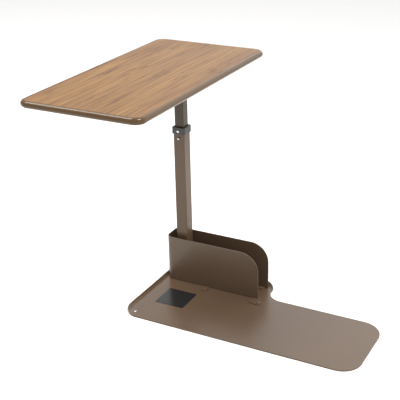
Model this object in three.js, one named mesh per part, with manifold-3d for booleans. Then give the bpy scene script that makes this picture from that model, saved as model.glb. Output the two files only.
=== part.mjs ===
// Overbed table with a sliding base: a flat steel base with a raised lip and a magazine rack, a square
// telescoping post with a snap button, and a wood-grain top that swivels on the post.
// Units are millimetres. +Z is up. The origin is on the post's axis, level with the floor.
// +X runs out along the base's tongue and +Y runs along the long side of the tabletop.

import * as THREE from 'three';
import Module from 'manifold-3d';
import { mergeVertices } from 'three/addons/utils/BufferGeometryUtils.js';

const wasm = await Module();
wasm.setup();

// ---------------------------------------------------------------- driving dimensions
const GAP = 0.3;                 // clearance between pieces that touch

const TOP_Z = 579;               // height of the writing surface, post at its lowest setting
const TOP_WIDTH = 328;           // tabletop across, along X
const TOP_LENGTH = 636;          // tabletop along Y
const TOP_THICKNESS = 17;
const TOP_CENTRE = [-48, -58.2];
const TOP_CORNER = 28;
const LAMINATE = 1.1;
const BAND_DEPTH = 8.5;            // how far the edge band stands out from the board
const BAND_NOSE = 8.3;           // radius of the quarter-rounds above and below the band's middle
const GROOVE_DEPTH = 9;          // groove in the board that holds the band's tongue
const GROOVE_HEIGHT = 3;
const BAND_SHY = 0.1;            // how far the band stays below the board's faces

const SHEET = 3;                 // base plate thickness
const BASE_LEFT = -50;
const BASE_FRONT = -243;
const BASE_BACK = 54;
const BASE_SHOULDER = 244;       // where the wide part ends and the tongue goes on
const TONGUE_BACK = -18;
const TONGUE_END = 564;
const LIP_RISE = 10;             // lip above the plate's upper face
const LIP_BEND = 9;              // how far in from the lip the plate starts to curl up
const LIP_RIM = 0.6;             // height of the square rim that the lip ends in
const CORNER_RIVET = [-23.5, -223];

const LABEL_SIZE = [80, 78];
const LABEL_CENTRE = [36, -119];
const LABEL_ROUND = 2;
const LABEL_FILM = 0.4;

const RACK_SHEET = 1.5;
const RACK_LEFT = -39;
const RACK_RIGHT = 229;
const RACK_HALF = 33;            // half the rack's outer width
const RACK_TOP = 128.5;
const RACK_END_ROUND = 16;       // bends at the closed end
const RACK_TOP_ROUND = 50;       // rounded upper corners at the open end
const TAB_WIDTH = 16;

const OUTER = 31.75;             // outer post tube across its flats
const INNER = 25.4;              // inner post tube across its flats
const TUBE_WALL = 1.5;
const OUTER_TOP = 429.4;
const INNER_BOTTOM = 120;
const BUTTON_Z = 402.3;
const HOLE_PITCH = 25.4;         // height settings
const HOLE_COUNT = 7;

const COLLAR_HALF = 18.5;
const COLLAR_ROUND = 4;
const COLLAR_BOTTOM = 414;
const COLLAR_TOP = 432;
const SLEEVE_BOTTOM = 385;
const SLIDE_GAP = 0.27;          // clearance of the plastic slides inside the outer tube
const RIVET_Z = 422;
const RIVET_SHANK = 1.7;
const RIVET_HEAD = 3.5;
const LEAF_SIZE = [8.6, 0.5, 34]; // spring leaf along X, Y and Z
const LEAF_Y = -13.75;
const LEAF_Z = 410.5;
const BUTTON_RADIUS = 3.4;
const BUTTON_FOOT = 13.05;       // how far the button's foot is from the post's axis
const BUTTON_NECK = 1.2;         // straight part of the button outside the tube
const BUTTON_DOME = 3.2;

const FLANGE_HALF = 29;
const FLANGE_THICKNESS = 5;
const FOOT_BOLT = 22;            // foot screws stand at plus and minus this in X and Y
const FOOT_SCREW_RADIUS = 3;
const FOOT_SCREW_END = 17;
const NUT_CORNER_RADIUS = 5.6;
const NUT_HEIGHT = 5;

const MAST_PLATE_HALF = 38;
const MAST_PLATE_THICKNESS = 4;
const WASHER_RADIUS = 30;
const WASHER_THICKNESS = 1.5;
const TABLE_PLATE = [112, 200];  // along X and Y
const TABLE_PLATE_THICKNESS = 3;
const PIVOT_RADIUS = 4;
const PIVOT_HEAD = 9;
const PIVOT_REACH = 15;          // how far the bolt goes on below the mast plate
const PIVOT_WASHER = [8.5, 1.6]; // radius and thickness
const PIVOT_NUT = [7.5, 8];      // corner radius and height
const TABLE_SCREW_X = [-44, 0, 44];
const TABLE_SCREW_Y = [-85, 85];
const TABLE_SCREW_REACH = 13;    // how far a screw goes into the board

// heights that follow from the tabletop downwards
const TOP_UNDERSIDE = TOP_Z - TOP_THICKNESS;
const TABLE_PLATE_TOP = TOP_UNDERSIDE - GAP;
const TABLE_PLATE_BOTTOM = TABLE_PLATE_TOP - TABLE_PLATE_THICKNESS;
const WASHER_TOP = TABLE_PLATE_BOTTOM - GAP;
const WASHER_BOTTOM = WASHER_TOP - WASHER_THICKNESS;
const MAST_PLATE_TOP = WASHER_BOTTOM - GAP;
const MAST_PLATE_BOTTOM = MAST_PLATE_TOP - MAST_PLATE_THICKNESS;
const INNER_TOP = MAST_PLATE_BOTTOM - GAP;
const FLANGE_BOTTOM = SHEET + GAP;
const FLANGE_TOP = FLANGE_BOTTOM + FLANGE_THICKNESS;

// ---------------------------------------------------------------- materials
const finish = (color, roughness, metalness) =>
  new THREE.MeshStandardMaterial({ color, roughness, metalness });
const powderCoat = finish(0x6a5748, 0.42, 0.25);
const innerCoat = finish(0x5c5046, 0.4, 0.3);
const woodLaminate = finish(0xbb8f66, 0.5, 0);
const backerPaper = finish(0x6b5a4a, 0.8, 0);
const particleBoard = finish(0xb59a75, 0.9, 0);
const edgeVinyl = finish(0x5c4839, 0.25, 0);
const blackPlastic = finish(0x3c3e42, 0.45, 0);
const nylon = finish(0xd8d4c8, 0.5, 0);
const zincSteel = finish(0xb9bcc0, 0.3, 0.9);
const springSteel = finish(0x8f9296, 0.35, 0.9);
const labelFilm = finish(0x2c2d31, 0.3, 0);

// ---------------------------------------------------------------- geometry helpers
function toSolid(geometry) {
  const bare = geometry.clone();
  bare.deleteAttribute('normal');
  bare.deleteAttribute('uv');
  const merged = mergeVertices(bare, 1e-4);
  return new wasm.Manifold(new wasm.Mesh({
    numProp: 3,
    vertProperties: new Float32Array(merged.attributes.position.array),
    triVerts: new Uint32Array(merged.index.array),
  }));
}

function toGeometry(solid) {
  const mesh = solid.getMesh();
  const geometry = new THREE.BufferGeometry();
  geometry.setAttribute('position', new THREE.BufferAttribute(mesh.vertProperties, 3));
  geometry.setIndex(new THREE.BufferAttribute(mesh.triVerts, 1));
  geometry.computeVertexNormals();
  return geometry;
}

function cut(body, ...tools) {
  let solid = toSolid(body);
  for (const tool of tools) solid = solid.subtract(toSolid(tool));
  return toGeometry(solid);
}

function join(body, ...others) {
  let solid = toSolid(body);
  for (const other of others) solid = solid.add(toSolid(other));
  return toGeometry(solid);
}

// a closed outline with rounded corners, centred on (cx, cy)
function roundedRect(width, length, radius, cx = 0, cy = 0) {
  const x = width / 2;
  const y = length / 2;
  const shape = new THREE.Shape();
  shape.moveTo(cx - x + radius, cy - y);
  shape.lineTo(cx + x - radius, cy - y);
  shape.absarc(cx + x - radius, cy - y + radius, radius, -Math.PI / 2, 0, false);
  shape.lineTo(cx + x, cy + y - radius);
  shape.absarc(cx + x - radius, cy + y - radius, radius, 0, Math.PI / 2, false);
  shape.lineTo(cx - x + radius, cy + y);
  shape.absarc(cx - x + radius, cy + y - radius, radius, Math.PI / 2, Math.PI, false);
  shape.lineTo(cx - x, cy - y + radius);
  shape.absarc(cx - x + radius, cy - y + radius, radius, Math.PI, Math.PI * 1.5, false);
  return shape;
}

function slab(shape, bottom, top, curveSegments = 6) {
  const options = { depth: top - bottom, bevelEnabled: false, curveSegments };
  return new THREE.ExtrudeGeometry(shape, options).translate(0, 0, bottom);
}

function rod(radius, bottom, top, x = 0, y = 0, sides = 20) {
  const geometry = new THREE.CylinderGeometry(radius, radius, top - bottom, sides);
  return geometry.rotateX(Math.PI / 2).translate(x, y, (top + bottom) / 2);
}

// a rod along Y, for the holes in the post's front face
function frontRod(radius, front, back, z, sides = 20) {
  return new THREE.CylinderGeometry(radius, radius, back - front, sides)
    .translate(0, (front + back) / 2, z);
}

// a round piece from [radius, height] points, standing on +Z
function turned(points, sides = 20) {
  const profile = points.map(([radius, height]) => new THREE.Vector2(radius, height));
  return new THREE.LatheGeometry(profile, sides).rotateX(Math.PI / 2);
}

// points of a quarter-round from the rim (radius, base) to the crown (0, base + rise)
function domePoints(radius, base, rise, steps = 5) {
  const points = [];
  for (let i = 0; i <= steps; i += 1) {
    const angle = (i / steps) * Math.PI / 2;
    points.push([i === steps ? 0 : radius * Math.cos(angle), base + rise * Math.sin(angle)]);
  }
  return points;
}

function squareTube(across, wall, bottom, top, radius) {
  const bore = across - 2 * wall;
  const shape = roundedRect(across, across, radius);
  shape.holes.push(roundedRect(bore, bore, Math.max(radius - wall, 0.5)));
  return slab(shape, bottom, top, 4);
}

// a step from 0 to 1 that starts and ends level
const smooth = (t) => t * t * (3 - 2 * t);

const group = new THREE.Group();

function add(name, geometry, material) {
  const mesh = new THREE.Mesh(geometry, material);
  mesh.name = name;
  group.add(mesh);
}

// ---------------------------------------------------------------- base plate
// The outline is walked anticlockwise. Each corner is [x, y, radius, lip before it, lip after it].
const baseCorners = [
  [BASE_LEFT, BASE_FRONT, 36, 1, 0],
  [TONGUE_END, BASE_FRONT, 50, 0, 0],
  [TONGUE_END, TONGUE_BACK, 55, 0, 0],
  [BASE_SHOULDER, TONGUE_BACK, 40, 0, 0],
  [BASE_SHOULDER, BASE_BACK, 28, 0, 1],
  [BASE_LEFT, BASE_BACK, 28, 1, 1],
];

// samples of a rounded outline: position, inward direction and how far the lip is raised there
function outlineSamples(corners, arcSteps) {
  const samples = [];
  corners.forEach(([x, y, radius, lipBefore, lipAfter], index) => {
    const before = corners[(index + corners.length - 1) % corners.length];
    const after = corners[(index + 1) % corners.length];
    const corner = new THREE.Vector2(x, y);
    const arriving = corner.clone().sub(new THREE.Vector2(before[0], before[1])).normalize();
    const leaving = new THREE.Vector2(after[0], after[1]).sub(corner).normalize();
    const turn = Math.sign(arriving.cross(leaving));
    const inward = new THREE.Vector2(-arriving.y, arriving.x);
    const centre = corner.clone().addScaledVector(arriving, -radius);
    centre.addScaledVector(inward, radius * turn);
    for (let i = 0; i <= arcSteps; i += 1) {
      const angle = turn * (i / arcSteps) * Math.PI / 2;
      const normal = inward.clone().rotateAround(new THREE.Vector2(), angle);
      const position = centre.clone().addScaledVector(normal, -radius * turn);
      const lip = lipBefore + (lipAfter - lipBefore) * smooth(i / arcSteps);
      samples.push({ position, normal, lip });
    }
  });
  return samples;
}

// the plate's section from under the bend, over the lip, and back down to the flat: [distance in, height]
function lipSection(lip, bendSteps) {
  const section = [];
  const reach = LIP_BEND + SHEET;
  const under = lip * (LIP_RISE + SHEET - LIP_RIM);
  for (let i = 0; i <= bendSteps; i += 1) {
    const angle = (i / bendSteps) * Math.PI / 2;
    section.push([reach * (1 - Math.sin(angle)), under * (1 - Math.cos(angle))]);
  }
  section.push([0, SHEET + lip * LIP_RISE]);
  for (let i = bendSteps; i >= 0; i -= 1) {
    const angle = (i / bendSteps) * Math.PI / 2;
    const inside = SHEET + LIP_BEND * (1 - Math.sin(angle));
    section.push([inside, SHEET + lip * LIP_RISE * (1 - Math.cos(angle))]);
  }
  return section;
}

function lippedPlate(corners) {
  const samples = outlineSamples(corners, 8);
  const sections = samples.map(({ lip }) => lipSection(lip, 5));
  const ringSize = sections[0].length;
  const positions = [];
  samples.forEach(({ position, normal }, index) => {
    for (const [inset, height] of sections[index]) {
      const point = position.clone().addScaledVector(normal, inset);
      positions.push(point.x, point.y, height);
    }
  });
  const at = (sample, step) => (sample % samples.length) * ringSize + step;
  const triangles = [];
  for (let sample = 0; sample < samples.length; sample += 1) {
    for (let step = 0; step < ringSize - 1; step += 1) {
      const [a, b] = [at(sample, step), at(sample + 1, step)];
      const [c, d] = [at(sample + 1, step + 1), at(sample, step + 1)];
      triangles.push(a, b, c, a, c, d);
    }
  }
  const flat = samples.map(({ position, normal }) =>
    position.clone().addScaledVector(normal, LIP_BEND + SHEET));
  for (const [a, b, c] of THREE.ShapeUtils.triangulateShape(flat, [])) {
    triangles.push(at(a, 0), at(c, 0), at(b, 0));
    const crown = ringSize - 1;
    triangles.push(at(a, crown), at(b, crown), at(c, crown));
  }
  const geometry = new THREE.BufferGeometry();
  geometry.setAttribute('position', new THREE.Float32BufferAttribute(positions, 3));
  geometry.setIndex(triangles);
  return geometry;
}

const signs = [[-1, -1], [1, -1], [1, 1], [-1, 1]];
const footBolts = signs.map(([x, y]) => [x * FOOT_BOLT, y * FOOT_BOLT]);

// The rack stands on tabs along the foot of its walls. The front wall's tabs are turned outwards, and
// the second one reaches past the open end. The back wall's tabs are turned inwards, clear of the lip.
const rackTabs = [
  { left: 73, right: 73 + TAB_WIDTH, wallY: -RACK_HALF, endY: -56, rivet: [81, -47] },
  { left: 213, right: 246, wallY: -RACK_HALF, endY: -60, rivet: [238, -51] },
  { left: 73, right: 73 + TAB_WIDTH, wallY: RACK_HALF, endY: 16, rivet: [81, 24] },
  { left: 204, right: 204 + TAB_WIDTH, wallY: RACK_HALF, endY: 16, rivet: [212, 24] },
];

// flush seats in the plate's underside: [radius, height] from below the plate to above it
const footCountersink = turned([[0, -1], [6.9, -1], [6.5, 0.1], [3.4, 3.1], [3.4, 5], [0, 5]], 20);
const rivetCountersink = turned([[0, -1], [4.4, -1], [4.4, 1.4], [2.4, 1.4], [2.4, 5], [0, 5]], 16);
const moved = (geometry, [x, y]) => geometry.clone().translate(x, y, 0);
const baseHoles = [
  ...footBolts.map((place) => moved(footCountersink, place)),
  ...rackTabs.map(({ rivet }) => moved(rivetCountersink, rivet)),
  moved(rivetCountersink, CORNER_RIVET),
];
add('base_plate', cut(lippedPlate(baseCorners), ...baseHoles), powderCoat);

// A bright rivet fills the hole that the plate hung from while it was coated.
const cornerRivet = turned([
  [0, 0.2], [4, 0.2], [4, 1.1], [2, 1.1], [2, SHEET + GAP], [3.4, SHEET + GAP],
  ...domePoints(3.4, SHEET + GAP + 0.4, 1.4, 4),
], 16);
add('corner_rivet', moved(cornerRivet, CORNER_RIVET), zincSteel);

// ---------------------------------------------------------------- blank label
const labelOutline = roundedRect(...LABEL_SIZE, LABEL_ROUND, ...LABEL_CENTRE);
add('blank_label', slab(labelOutline, SHEET + GAP, SHEET + GAP + LABEL_FILM, 3), labelFilm);

// ---------------------------------------------------------------- magazine rack
// One bent sheet: two long walls joined by a round-cornered closed end, on riveted foot tabs.
function rackOutline(inset) {
  const half = RACK_HALF - inset;
  const left = RACK_LEFT + inset;
  const round = RACK_END_ROUND - inset;
  const shape = new THREE.Shape();
  shape.moveTo(RACK_RIGHT, half);
  shape.lineTo(left + round, half);
  shape.absarc(left + round, half - round, round, Math.PI / 2, Math.PI, false);
  shape.lineTo(left, -half + round);
  shape.absarc(left + round, -half + round, round, Math.PI, Math.PI * 1.5, false);
  shape.lineTo(RACK_RIGHT, -half);
  return shape;
}

function rackWalls() {
  const outer = rackOutline(0).getPoints(8);
  const inner = rackOutline(RACK_SHEET).getPoints(8).reverse();
  const shape = new THREE.Shape([...outer, ...inner]);
  const walls = slab(shape, SHEET + GAP, RACK_TOP);
  // the side view of both walls, with the rounded upper corner at the open end
  const side = new THREE.Shape();
  side.moveTo(RACK_LEFT - 5, -5);
  side.lineTo(RACK_RIGHT, -5);
  side.lineTo(RACK_RIGHT, RACK_TOP - RACK_TOP_ROUND);
  const [roundX, roundZ] = [RACK_RIGHT - RACK_TOP_ROUND, RACK_TOP - RACK_TOP_ROUND];
  side.absarc(roundX, roundZ, RACK_TOP_ROUND, 0, Math.PI / 2, false);
  side.lineTo(RACK_LEFT - 5, RACK_TOP);
  const keep = slab(side, -50, 50, 12).rotateX(Math.PI / 2);
  return toGeometry(toSolid(walls).intersect(toSolid(keep)));
}

function rackTab({ left, right, wallY, endY, rivet }) {
  const root = wallY - Math.sign(wallY) * RACK_SHEET / 2;
  const outline = new THREE.Shape();
  outline.moveTo(left, endY);
  outline.lineTo(right, endY);
  if (right > RACK_RIGHT) {
    outline.lineTo(right, wallY);
    outline.lineTo(RACK_RIGHT, wallY);
    outline.lineTo(RACK_RIGHT, root);
  } else {
    outline.lineTo(right, root);
  }
  outline.lineTo(left, root);
  const tongue = slab(outline, SHEET + GAP, SHEET + GAP + RACK_SHEET);
  return cut(tongue, rod(2.4, 0, 10, ...rivet, 16));
}

add('magazine_rack', join(rackWalls(), ...rackTabs.map(rackTab)), powderCoat);

const tabTop = SHEET + GAP + RACK_SHEET;
const rackRivet = turned([
  [0, 0.2], [4, 0.2], [4, 1.1], [2, 1.1], [2, tabTop + GAP], [5, tabTop + GAP],
  ...domePoints(5, tabTop + GAP + 0.6, 1.6, 4),
], 16);
rackTabs.forEach(({ rivet }, index) => {
  add(`rack_rivet_${index + 1}`, moved(rackRivet, rivet), powderCoat);
});

// ---------------------------------------------------------------- post foot
const flange = slab(roundedRect(2 * FLANGE_HALF, 2 * FLANGE_HALF, 5), FLANGE_BOTTOM, FLANGE_TOP, 4);
const flangeHoles = footBolts.map(([x, y]) => rod(3.4, 0, 20, x, y, 20));
add('foot_flange', cut(flange, ...flangeHoles), powderCoat);

const footScrew = turned([
  [0, 0.2], [6.1, 0.2], [FOOT_SCREW_RADIUS, 3], [FOOT_SCREW_RADIUS, FOOT_SCREW_END - 0.6],
  [FOOT_SCREW_RADIUS - 0.5, FOOT_SCREW_END], [0, FOOT_SCREW_END],
], 16);
const nutBottom = FLANGE_TOP + GAP;
const nutBore = rod(FOOT_SCREW_RADIUS + GAP, 0, 30, 0, 0, 16);
const footNut = cut(rod(NUT_CORNER_RADIUS, nutBottom, nutBottom + NUT_HEIGHT, 0, 0, 6), nutBore);
footBolts.forEach((place, index) => {
  add(`foot_screw_${index + 1}`, moved(footScrew, place), zincSteel);
  add(`foot_nut_${index + 1}`, moved(footNut, place), zincSteel);
});

// ---------------------------------------------------------------- outer tube, collar and snap button
const outerFace = -OUTER / 2;
const outerTube = squareTube(OUTER, TUBE_WALL, FLANGE_TOP + GAP, OUTER_TOP, 3);
const buttonHole = frontRod(3.8, outerFace - 2, outerFace + 4, BUTTON_Z);
const rivetHole = frontRod(2, outerFace - 2, outerFace + 4, RIVET_Z, 16);
add('outer_tube', cut(outerTube, buttonHole, rivetHole), powderCoat);

const slideHalf = OUTER / 2 - TUBE_WALL - SLIDE_GAP;
const boreHalf = INNER / 2 + GAP;

// a square bar with rounded edges about the post's axis
const squareBar = (half, radius, bottom, top, segments = 4) =>
  slab(roundedRect(2 * half, 2 * half, radius), bottom, top, segments);

function collarGeometry() {
  const cap = squareBar(COLLAR_HALF, COLLAR_ROUND, COLLAR_BOTTOM, COLLAR_TOP);
  const tubeSocket = squareBar(OUTER / 2 + GAP, 3.2, COLLAR_BOTTOM - 1, OUTER_TOP + GAP);
  const sleeve = squareBar(slideHalf, 1.5, SLEEVE_BOTTOM, COLLAR_TOP - 1, 3);
  const bore = squareBar(boreHalf, 2, SLEEVE_BOTTOM - 1, COLLAR_TOP + 1, 3);
  const springWindow = new THREE.BoxGeometry(LEAF_SIZE[0] + 0.8, 4, 50);
  springWindow.translate(0, -slideHalf, SLEEVE_BOTTOM + 18);
  const rivetBore = frontRod(RIVET_SHANK + GAP, -COLLAR_HALF - 1, -boreHalf, RIVET_Z, 16);
  return cut(join(cut(cap, tubeSocket), sleeve), bore, springWindow, rivetBore);
}
add('collar', collarGeometry(), blackPlastic);

// the collar's rivet: its head is outside and its shank goes through collar, tube and spring
const rivetShankEnd = 13.15;
const collarRivet = turned([
  [0, rivetShankEnd], [RIVET_SHANK, rivetShankEnd], [RIVET_SHANK, COLLAR_HALF + 0.2],
  [RIVET_HEAD, COLLAR_HALF + 0.2], ...domePoints(RIVET_HEAD, COLLAR_HALF + 0.6, 1.6, 4),
], 16).rotateX(Math.PI / 2).translate(0, 0, RIVET_Z);
add('collar_rivet', collarRivet, zincSteel);

// a leaf between the two tubes, held by the rivet and ringed round the button
const springLeaf = new THREE.BoxGeometry(...LEAF_SIZE).translate(0, LEAF_Y, LEAF_Z);
const leafHoles = [
  frontRod(BUTTON_RADIUS + GAP, LEAF_Y - 2, LEAF_Y + 2, BUTTON_Z),
  frontRod(RIVET_SHANK + 0.25, LEAF_Y - 2, LEAF_Y + 2, RIVET_Z, 16),
];
add('button_spring', cut(springLeaf, ...leafHoles), springSteel);

const snapButton = turned([
  [0, BUTTON_FOOT], [BUTTON_RADIUS - 0.5, BUTTON_FOOT], [BUTTON_RADIUS, BUTTON_FOOT + 0.5],
  ...domePoints(BUTTON_RADIUS, OUTER / 2 + BUTTON_NECK, BUTTON_DOME, 6),
], 24).rotateX(Math.PI / 2).translate(0, 0, BUTTON_Z);
add('snap_button', snapButton, zincSteel);

// ---------------------------------------------------------------- inner tube (mast)
const settingHoles = [];
for (let i = 0; i < HOLE_COUNT; i += 1) {
  settingHoles.push(frontRod(3.9, -INNER / 2 - 2, -INNER / 2 + 4, BUTTON_Z - i * HOLE_PITCH));
}
const innerTube = squareTube(INNER, TUBE_WALL, INNER_BOTTOM, INNER_TOP, 2.5);
add('inner_tube', cut(innerTube, ...settingHoles), innerCoat);

// the inner tube's plastic foot, which slides in the outer tube
function lowerGlide() {
  const foot = squareBar(slideHalf, 1.5, INNER_BOTTOM - 15, INNER_BOTTOM - GAP, 3);
  const plug = squareBar(INNER / 2 - TUBE_WALL - GAP, 1.5, INNER_BOTTOM - 1, INNER_BOTTOM + 20, 3);
  return cut(join(foot, plug), rod(6, 0, 300));
}
add('lower_glide', lowerGlide(), blackPlastic);

const mastPlateShape = roundedRect(2 * MAST_PLATE_HALF, 2 * MAST_PLATE_HALF, 8);
const pivotBore = rod(PIVOT_RADIUS + GAP, 500, 600);
add('mast_plate', cut(slab(mastPlateShape, MAST_PLATE_BOTTOM, MAST_PLATE_TOP, 4), pivotBore), powderCoat);
add('swivel_washer', cut(rod(WASHER_RADIUS, WASHER_BOTTOM, WASHER_TOP, 0, 0, 32), pivotBore), nylon);

const pivotHeadBottom = TABLE_PLATE_TOP + GAP;
const pivotEnd = MAST_PLATE_BOTTOM - PIVOT_REACH;
const pivotBolt = turned([
  [0, pivotEnd], [PIVOT_RADIUS - 0.6, pivotEnd], [PIVOT_RADIUS, pivotEnd + 0.6],
  [PIVOT_RADIUS, pivotHeadBottom], [PIVOT_HEAD, pivotHeadBottom],
  ...domePoints(PIVOT_HEAD, pivotHeadBottom + 1, 3.4, 5),
], 20);
add('pivot_bolt', pivotBolt, zincSteel);

const [washerRadius, washerHeight] = PIVOT_WASHER;
const [nutRadius, nutHeight] = PIVOT_NUT;
const pivotWasherTop = MAST_PLATE_BOTTOM - GAP;
const pivotNutTop = pivotWasherTop - washerHeight - GAP;
const pivotWasher = rod(washerRadius, pivotWasherTop - washerHeight, pivotWasherTop, 0, 0, 24);
add('pivot_washer', cut(pivotWasher, pivotBore), zincSteel);
const pivotNut = rod(nutRadius, pivotNutTop - nutHeight, pivotNutTop, 0, 0, 6);
add('pivot_nut', cut(pivotNut, pivotBore), zincSteel);

// ---------------------------------------------------------------- tabletop
const [topX, topY] = TOP_CENTRE;
// the tabletop's outline, moved in by a distance
const topOutline = (inset) =>
  roundedRect(TOP_WIDTH - 2 * inset, TOP_LENGTH - 2 * inset, TOP_CORNER - inset, topX, topY);

const screwPlaces = TABLE_SCREW_Y.flatMap((y) => TABLE_SCREW_X.map((x) => [x, y]));
const tableScrewEnd = TOP_UNDERSIDE + TABLE_SCREW_REACH;
const pilotHole = rod(2.4, TOP_UNDERSIDE - 10, tableScrewEnd + 0.5, 0, 0, 12);
const pilotHoles = screwPlaces.map((place) => moved(pilotHole, place));
const headPocket = rod(PIVOT_HEAD + 1, TOP_UNDERSIDE - 1, TOP_UNDERSIDE + 6);

const tablePlate = slab(roundedRect(...TABLE_PLATE, 10), TABLE_PLATE_BOTTOM, TABLE_PLATE_TOP, 5);
add('table_plate', cut(tablePlate, pivotBore, ...pilotHoles), powderCoat);

const screwHeadTop = TABLE_PLATE_BOTTOM - 0.2;
const tableScrew = turned([
  [0, screwHeadTop - 2.4], [2.6, screwHeadTop - 2.2], [4, screwHeadTop - 1.2], [4.2, screwHeadTop],
  [2, screwHeadTop], [2, tableScrewEnd - 3], [0, tableScrewEnd],
], 12);
screwPlaces.forEach((place, index) => {
  add(`table_screw_${index + 1}`, moved(tableScrew, place), zincSteel);
});

const boardInset = BAND_DEPTH + GAP;
const BACKER_TOP = TOP_UNDERSIDE + LAMINATE;
const LAMINATE_BOTTOM = TOP_Z - LAMINATE;
const MID_Z = (TOP_UNDERSIDE + TOP_Z) / 2;

function coreBoard() {
  const board = slab(topOutline(boardInset), BACKER_TOP + GAP, LAMINATE_BOTTOM - GAP, 8);
  const grooveShape = topOutline(boardInset - 1);
  grooveShape.holes.push(topOutline(boardInset + GROOVE_DEPTH));
  const groove = slab(grooveShape, MID_Z - GROOVE_HEIGHT / 2, MID_Z + GROOVE_HEIGHT / 2, 8);
  return cut(board, groove, headPocket, ...pilotHoles);
}
add('core_board', coreBoard(), particleBoard);
add('top_laminate', slab(topOutline(boardInset), LAMINATE_BOTTOM, TOP_Z, 8), woodLaminate);
const backer = slab(topOutline(boardInset), TOP_UNDERSIDE, BACKER_TOP, 8);
add('backer_sheet', cut(backer, headPocket, ...pilotHoles), backerPaper);

// The band runs round the board. Its section is a strip with a round nose and a tongue that
// enters the board's groove: [distance in from the outline, height].
function bandSection() {
  const section = [];
  const bottom = TOP_UNDERSIDE + BAND_SHY;
  const top = TOP_Z - BAND_SHY;
  const steps = 5;
  for (let i = 0; i <= steps; i += 1) {
    const angle = (i / steps) * Math.PI / 2;
    section.push([BAND_NOSE * (1 - Math.sin(angle)), bottom + BAND_NOSE * (1 - Math.cos(angle))]);
  }
  for (let i = steps; i >= 0; i -= 1) {
    const angle = (i / steps) * Math.PI / 2;
    section.push([BAND_NOSE * (1 - Math.sin(angle)), top - BAND_NOSE * (1 - Math.cos(angle))]);
  }
  const tongueHalf = GROOVE_HEIGHT / 2 - GAP;
  const tongueReach = BAND_DEPTH + GROOVE_DEPTH - 0.6;
  section.push([BAND_DEPTH, top], [BAND_DEPTH, MID_Z + tongueHalf], [tongueReach, MID_Z + tongueHalf]);
  section.push([tongueReach, MID_Z - tongueHalf], [BAND_DEPTH, MID_Z - tongueHalf], [BAND_DEPTH, bottom]);
  return section;
}

function edgeBand() {
  const section = bandSection();
  const corners = signs.map(([x, y]) =>
    [topX + x * TOP_WIDTH / 2, topY + y * TOP_LENGTH / 2, TOP_CORNER, 0, 0]);
  const samples = outlineSamples(corners, 8);
  const positions = [];
  for (const { position, normal } of samples) {
    for (const [inset, height] of section) {
      const point = position.clone().addScaledVector(normal, inset);
      positions.push(point.x, point.y, height);
    }
  }
  const at = (sample, step) => (sample % samples.length) * section.length + (step % section.length);
  const triangles = [];
  for (let sample = 0; sample < samples.length; sample += 1) {
    for (let step = 0; step < section.length; step += 1) {
      const [a, b] = [at(sample, step), at(sample + 1, step)];
      const [c, d] = [at(sample + 1, step + 1), at(sample, step + 1)];
      triangles.push(a, b, c, a, c, d);
    }
  }
  const geometry = new THREE.BufferGeometry();
  geometry.setAttribute('position', new THREE.Float32BufferAttribute(positions, 3));
  geometry.setIndex(triangles);
  geometry.computeVertexNormals();
  return geometry;
}
add('edge_band', edgeBand(), edgeVinyl);

export default group;
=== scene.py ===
# %% [markdown]
# An overbed table, built round its CAD frame. The frame holds the sizes and the joints. This file makes
# the surfaces that are looked at: bent and painted steel, wood-grain laminate, vinyl edging, moulded
# plastic and bright fasteners. Each step says what the piece is on the real table and how it is made.

# %% Load the frame
import math

import bmesh
import bpy
from mathutils import Matrix, Vector


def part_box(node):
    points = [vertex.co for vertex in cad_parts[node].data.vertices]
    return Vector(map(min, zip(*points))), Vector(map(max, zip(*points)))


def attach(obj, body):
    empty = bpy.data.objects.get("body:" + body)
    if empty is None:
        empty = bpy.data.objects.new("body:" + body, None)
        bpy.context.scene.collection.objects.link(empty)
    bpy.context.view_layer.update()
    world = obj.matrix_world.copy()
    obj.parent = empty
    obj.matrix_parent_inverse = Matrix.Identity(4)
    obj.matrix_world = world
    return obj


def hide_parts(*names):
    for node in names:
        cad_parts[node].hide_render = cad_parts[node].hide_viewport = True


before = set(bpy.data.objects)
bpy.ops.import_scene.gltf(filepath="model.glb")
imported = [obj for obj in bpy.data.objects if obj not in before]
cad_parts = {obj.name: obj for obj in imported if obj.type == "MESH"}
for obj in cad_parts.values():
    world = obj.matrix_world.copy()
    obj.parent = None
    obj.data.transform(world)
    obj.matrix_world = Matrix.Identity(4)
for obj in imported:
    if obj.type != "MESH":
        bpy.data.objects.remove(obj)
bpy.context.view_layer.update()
MM = 0.001

# %% [markdown]
# The camera comes first, because every other choice is looked at through it. A long lens from well
# above the tabletop keeps the verticals nearly parallel. The camera's own axes are worked out from its
# azimuth, its elevation and a small roll, in the order in which a tripod head is set.

# %% Camera
CAMERA_PLACE = Vector((1.0923, -1.9092, 1.1921))
CAMERA_AZIMUTH = math.radians(28.67)
CAMERA_ELEVATION = math.radians(23.73)
CAMERA_ROLL = math.radians(-1.35)
CAMERA_LENS = 82.6
SENSOR_WIDTH = 36


def camera_axes(azimuth, elevation, roll):
    """The camera's right, up and back directions as the columns of a matrix."""
    back = Vector((math.sin(azimuth) * math.cos(elevation), -math.cos(azimuth) * math.cos(elevation),
                   math.sin(elevation)))
    level_right = Vector((math.cos(azimuth), math.sin(azimuth), 0))
    level_up = back.cross(level_right)
    right = math.cos(roll) * level_right + math.sin(roll) * level_up
    up = math.cos(roll) * level_up - math.sin(roll) * level_right
    return Matrix((right, up, back)).transposed()


camera_data = bpy.data.cameras.new("camera")
camera_data.lens = CAMERA_LENS
camera_data.sensor_width = SENSOR_WIDTH
camera = bpy.data.objects.new("camera", camera_data)
bpy.context.scene.collection.objects.link(camera)
turn = camera_axes(CAMERA_AZIMUTH, CAMERA_ELEVATION, CAMERA_ROLL)
camera.matrix_world = Matrix.Translation(CAMERA_PLACE) @ turn.to_4x4()
bpy.context.scene.camera = camera
print("camera at", [round(c, 3) for c in camera.location], "lens", CAMERA_LENS)

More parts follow.
